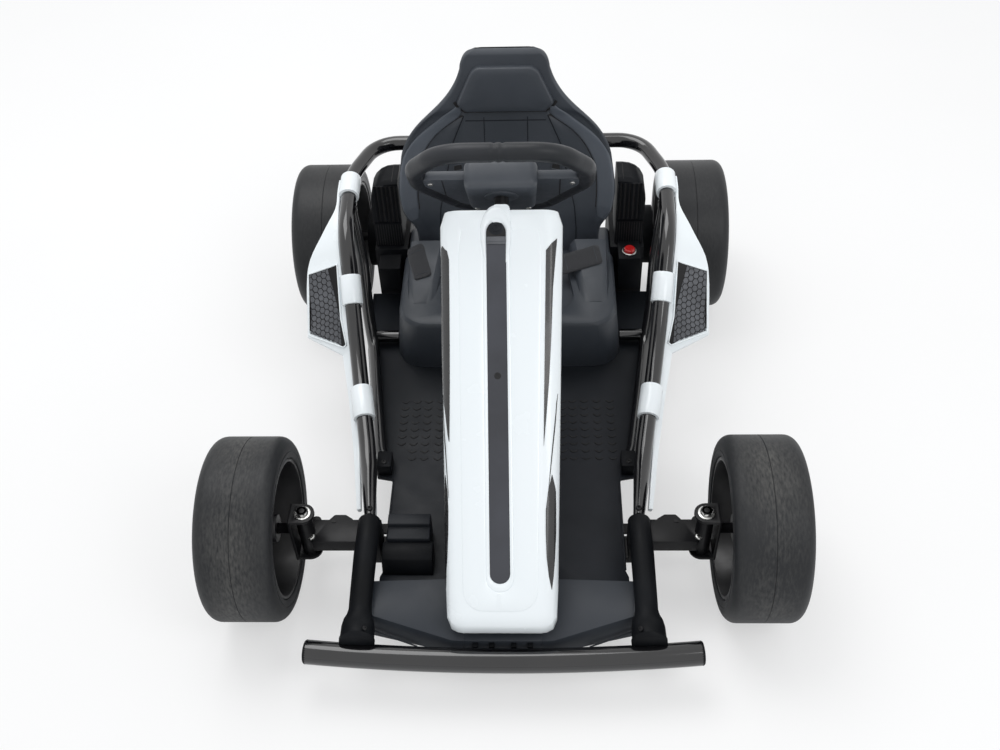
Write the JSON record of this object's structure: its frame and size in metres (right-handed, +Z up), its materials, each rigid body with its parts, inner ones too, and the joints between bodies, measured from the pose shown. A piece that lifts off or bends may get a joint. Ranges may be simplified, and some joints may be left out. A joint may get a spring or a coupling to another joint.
{
  "type": "toy drift kart",
  "caption": "Child's electric ride-on drift kart with bucket seat, steering wheel, bent tube frame, long fairing and wide slick wheels.",
  "frame": {"origin": "middle of the length and width of the kart, on the ground", "axes": "+Z up, the kart faces -Y, +X is the driver's left"},
  "size_m": [0.656, 0.7844, 0.4682],
  "materials": {
    "gloss_black_tube": "gloss black powder coat",
    "matt_black_plastic": "matt black moulded plastic",
    "satin_black_plastic": "satin black moulded plastic",
    "black_steel": "satin black paint",
    "tyre_black": "smooth slick tyre",
    "rim_black": "black moulded plastic",
    "white_gloss_plastic": "gloss white moulded plastic",
    "smoked_window": "smoked translucent strip",
    "grey_insert": "grey moulded honeycomb",
    "black_webbing": "woven belt",
    "red_button": "gloss red",
    "battery_case": "plain case"
  },
  "bodies": {
    "chassis": {"battery_block": "battery_case", "bumper": "gloss_black_tube", "column_bracket": "black_steel", "fairing": "white_gloss_plastic", "fairing_window": "smoked_window", "floor_pan": "satin_black_plastic", "front_axle_beam": "black_steel", "front_sleeve_left": "matt_black_plastic", "front_sleeve_right": "matt_black_plastic", "headrest_pad": "satin_black_plastic", "honeycomb_insert_left": "grey_insert", "honeycomb_insert_right": "grey_insert", "hoop_rail": "gloss_black_tube", "housing_left": "matt_black_plastic", "housing_right": "matt_black_plastic", "lap_belt_left": "black_webbing", "lap_belt_right": "black_webbing", "lower_rail_left": "gloss_black_tube", "lower_rail_right": "gloss_black_tube", "nose_panel": "satin_black_plastic", "pedal_base": "matt_black_plastic", "pedal_plate": "satin_black_plastic", "power_button": "red_button", "rear_axle": "black_steel", "seat_base": "satin_black_plastic", "seat_shell": "satin_black_plastic", "side_pod_left": "white_gloss_plastic", "side_pod_right": "white_gloss_plastic"},
    "steering": {"steering_column": "black_steel", "steering_wheel": "satin_black_plastic"},
    "knuckle_left": {"knuckle_left": "black_steel"},
    "knuckle_right": {"knuckle_right": "black_steel"},
    "tie_bar": {"tie_bar": "black_steel"},
    "wheel_front_left": {"tyre_front_left": "tyre_black", "rim_front_left": "rim_black"},
    "wheel_front_right": {"tyre_front_right": "tyre_black", "rim_front_right": "rim_black"},
    "wheel_rear_left": {"tyre_rear_left": "tyre_black", "rim_rear_left": "rim_black"},
    "wheel_rear_right": {"tyre_rear_right": "tyre_black", "rim_rear_right": "rim_black"}
  },
  "joints": [
    {"name": "steering_turn", "type": "hinge", "parent": "chassis", "child": "steering", "pos_m": [0, 0.04115, 0.3843], "axis": [0, 0.7986, 0.6018], "range_deg": [-42, 42]},
    {"name": "knuckle_left_turn", "type": "hinge", "parent": "chassis", "child": "knuckle_left", "pos_m": [0.226, -0.23885, 0.105], "axis": [0, 0, 1], "range_deg": [-26.1, 26.1]},
    {"name": "knuckle_right_turn", "type": "hinge", "parent": "chassis", "child": "knuckle_right", "pos_m": [-0.226, -0.23885, 0.105], "axis": [0, 0, 1], "range_deg": [-26.1, 26.1]},
    {"name": "tie_bar_turn", "type": "hinge", "parent": "knuckle_left", "child": "tie_bar", "pos_m": [0.226, -0.19885, 0.048], "axis": [0, 0, 1], "range_deg": [-26.1, 26.1]},
    {"name": "wheel_front_left_spin", "type": "hinge", "parent": "knuckle_left", "child": "wheel_front_left", "pos_m": [0.286, -0.23885, 0.105], "axis": [1, 0, 0], "continuous": true},
    {"name": "wheel_front_right_spin", "type": "hinge", "parent": "knuckle_right", "child": "wheel_front_right", "pos_m": [-0.286, -0.23885, 0.105], "axis": [1, 0, 0], "continuous": true},
    {"name": "wheel_rear_left_spin", "type": "hinge", "parent": "chassis", "child": "wheel_rear_left", "pos_m": [0.258, 0.28715, 0.105], "axis": [1, 0, 0], "continuous": true},
    {"name": "wheel_rear_right_spin", "type": "hinge", "parent": "chassis", "child": "wheel_rear_right", "pos_m": [-0.258, 0.28715, 0.105], "axis": [1, 0, 0], "continuous": true}
  ],
  "couplings": [
    {"joint": "knuckle_left_turn", "follows": "steering_turn", "ratio": 0.62},
    {"joint": "knuckle_right_turn", "follows": "steering_turn", "ratio": 0.62},
    {"joint": "tie_bar_turn", "follows": "steering_turn", "ratio": -0.62}
  ]
}
